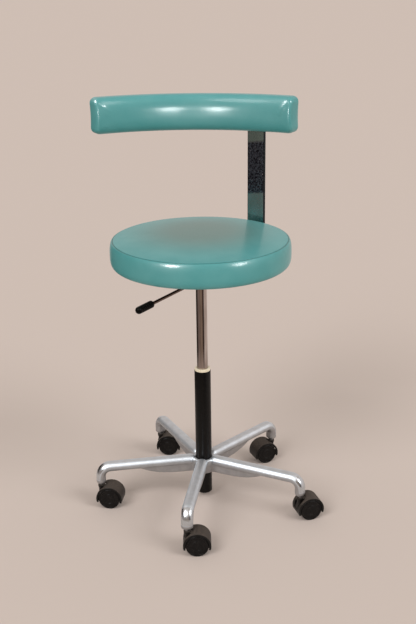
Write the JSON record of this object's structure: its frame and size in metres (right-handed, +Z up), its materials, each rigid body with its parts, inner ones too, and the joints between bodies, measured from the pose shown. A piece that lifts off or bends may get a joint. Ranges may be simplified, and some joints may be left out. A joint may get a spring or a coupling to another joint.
{
  "type": "medical stool",
  "caption": "Height-adjustable medical stool with a star base on casters, a gas column, a round seat and a crescent support pad on a swinging bar",
  "frame": {"origin": "on the floor, on the axis of the column", "axes": "+Z up along the column; the front of the stool faces -Y, +X is to the right seen from the front"},
  "size_m": [0.526, 0.5012, 0.9249],
  "materials": {
    "cast_aluminium": "sand-cast arms polished bright on top",
    "black_tube": "satin black enamel on steel tube",
    "ivory_plastic": "moulded ivory acetal",
    "zinc_steel": "zinc-plated steel",
    "ground_steel": "ground steel",
    "chrome": "bright chrome plate",
    "brass_cage": "pressed brass",
    "black_rubber": "moulded rubber",
    "black_plastic": "moulded black nylon",
    "dusty_plastic": "moulded black nylon with dust",
    "glossy_black": "smooth black plastic",
    "black_steel": "black enamel on steel",
    "red_button": "red plastic",
    "plywood": "birch plywood",
    "foam": "open-cell foam",
    "leatherette": "teal vinyl leatherette",
    "dust_cloth": "black non-woven cloth",
    "dark_chrome": "worn chrome plate"
  },
  "bodies": {
    "base": {"star_base": "cast_aluminium", "stand_tube": "black_tube", "guide_bush": "ivory_plastic", "caster_stems": "zinc_steel", "tube_end_plate": "zinc_steel", "lower_race": "ground_steel"},
    "spindle": {"ball_cage": "brass_cage", "bearing_balls": "ground_steel", "upper_race": "ground_steel", "bump_stop": "black_rubber", "piston_rod": "chrome", "rod_clip": "zinc_steel", "piston": "black_plastic"},
    "seat": {"gas_cylinder": "chrome", "rod_guide": "black_plastic", "valve_block": "ground_steel", "column_housing": "black_steel", "seat_plate": "black_steel", "seat_screws": "zinc_steel", "tee_nuts": "zinc_steel", "seat_board": "plywood", "seat_foam": "foam", "seat_cover_band": "leatherette", "seat_cover_top": "leatherette", "dust_cover": "dust_cloth", "lever_pin": "zinc_steel", "collar_ring": "zinc_steel"},
    "lever": {"lever_rod": "dark_chrome", "lever_grip": "black_plastic"},
    "valve": {"valve_button": "red_button"},
    "support": {"swing_bush": "ivory_plastic", "swing_collar": "black_steel", "collar_bolts": "zinc_steel", "support_bar": "chrome", "bar_screws": "zinc_steel", "pad_bracket": "black_steel", "pad_screws": "zinc_steel", "pad_board": "plywood", "pad_foam": "foam", "pad_cover": "leatherette"},
    "caster_left": {"caster_left_hood": "dusty_plastic", "caster_left_axle": "zinc_steel"},
    "wheel_left_a": {"caster_left_wheel_a": "glossy_black"},
    "wheel_left_b": {"caster_left_wheel_b": "glossy_black"},
    "caster_front": {"caster_front_hood": "dusty_plastic", "caster_front_axle": "zinc_steel"},
    "wheel_front_a": {"caster_front_wheel_a": "glossy_black"},
    "wheel_front_b": {"caster_front_wheel_b": "glossy_black"},
    "caster_right": {"caster_right_hood": "dusty_plastic", "caster_right_axle": "zinc_steel"},
    "wheel_right_a": {"caster_right_wheel_a": "glossy_black"},
    "wheel_right_b": {"caster_right_wheel_b": "glossy_black"},
    "caster_back_right": {"caster_back_right_hood": "dusty_plastic", "caster_back_right_axle": "zinc_steel"},
    "wheel_back_right_a": {"caster_back_right_wheel_a": "glossy_black"},
    "wheel_back_right_b": {"caster_back_right_wheel_b": "glossy_black"},
    "caster_back_left": {"caster_back_left_hood": "dusty_plastic", "caster_back_left_axle": "zinc_steel"},
    "wheel_back_left_a": {"caster_back_left_wheel_a": "glossy_black"},
    "wheel_back_left_b": {"caster_back_left_wheel_b": "glossy_black"}
  },
  "joints": [
    {"name": "column_swivel", "type": "hinge", "parent": "base", "child": "spindle", "pos_m": [0, 0, 0.1], "axis": [0, 0, 1], "continuous": true},
    {"name": "height_lift", "type": "slide", "parent": "spindle", "child": "seat", "axis": [0, 0, 1], "range_m": [-0.175, 0]},
    {"name": "lever_pull", "type": "hinge", "parent": "seat", "child": "lever", "pos_m": [-0.01812, -0.02637, 0.56395], "axis": [-0.8241, 0.5664, 0], "range_deg": [0, 4.3], "stiffness_Nm_per_rad": 6, "springref_deg": -5.73},
    {"name": "valve_press", "type": "slide", "parent": "seat", "child": "valve", "axis": [0, 0, 1], "range_m": [-0.0025, 0]},
    {"name": "support_swing", "type": "hinge", "parent": "seat", "child": "support", "pos_m": [0, 0, 0.539], "axis": [0, 0, 1], "range_deg": [-135, 135]},
    {"name": "swivel_left", "type": "hinge", "parent": "base", "child": "caster_left", "pos_m": [-0.241, -0.03817, 0.045], "axis": [0, 0, 1], "continuous": true},
    {"name": "roll_left_a", "type": "hinge", "parent": "caster_left", "child": "wheel_left_a", "pos_m": [-0.2202, -0.04109, 0.025], "axis": [0.1392, 0.9903, 0], "continuous": true},
    {"name": "roll_left_b", "type": "hinge", "parent": "caster_left", "child": "wheel_left_b", "pos_m": [-0.2202, -0.04109, 0.025], "axis": [0.1392, 0.9903, 0], "continuous": true},
    {"name": "swivel_front", "type": "hinge", "parent": "base", "child": "caster_front", "pos_m": [-0.03817, -0.241, 0.045], "axis": [0, 0, 1], "continuous": true},
    {"name": "roll_front_a", "type": "hinge", "parent": "caster_front", "child": "wheel_front_a", "pos_m": [-0.01717, -0.241, 0.025], "axis": [0, 1, 0], "continuous": true},
    {"name": "roll_front_b", "type": "hinge", "parent": "caster_front", "child": "wheel_front_b", "pos_m": [-0.01717, -0.241, 0.025], "axis": [0, 1, 0], "continuous": true},
    {"name": "swivel_right", "type": "hinge", "parent": "base", "child": "caster_right", "pos_m": [0.21741, -0.11077, 0.045], "axis": [0, 0, 1], "continuous": true},
    {"name": "roll_right_a", "type": "hinge", "parent": "caster_right", "child": "wheel_right_a", "pos_m": [0.23759, -0.10498, 0.025], "axis": [-0.2756, 0.9613, 0], "continuous": true},
    {"name": "roll_right_b", "type": "hinge", "parent": "caster_right", "child": "wheel_right_b", "pos_m": [0.23759, -0.10498, 0.025], "axis": [-0.2756, 0.9613, 0], "continuous": true},
    {"name": "swivel_back_right", "type": "hinge", "parent": "base", "child": "caster_back_right", "pos_m": [0.17253, 0.17253, 0.045], "axis": [0, 0, 1], "continuous": true},
    {"name": "roll_back_right_a", "type": "hinge", "parent": "caster_back_right", "child": "wheel_back_right_a", "pos_m": [0.15306, 0.16467, 0.025], "axis": [0.3746, -0.9272, 0], "continuous": true},
    {"name": "roll_back_right_b", "type": "hinge", "parent": "caster_back_right", "child": "wheel_back_right_b", "pos_m": [0.15306, 0.16467, 0.025], "axis": [0.3746, -0.9272, 0], "continuous": true},
    {"name": "swivel_back_left", "type": "hinge", "parent": "base", "child": "caster_back_left", "pos_m": [-0.11077, 0.21741, 0.045], "axis": [0, 0, 1], "continuous": true},
    {"name": "roll_back_left_a", "type": "hinge", "parent": "caster_back_left", "child": "wheel_back_left_a", "pos_m": [-0.08983, 0.21594, 0.025], "axis": [0.0698, 0.9976, 0], "continuous": true},
    {"name": "roll_back_left_b", "type": "hinge", "parent": "caster_back_left", "child": "wheel_back_left_b", "pos_m": [-0.08983, 0.21594, 0.025], "axis": [0.0698, 0.9976, 0], "continuous": true}
  ],
  "couplings": [
    {"joint": "valve_press", "follows": "lever_pull", "m_per_rad": -0.03197}
  ]
}
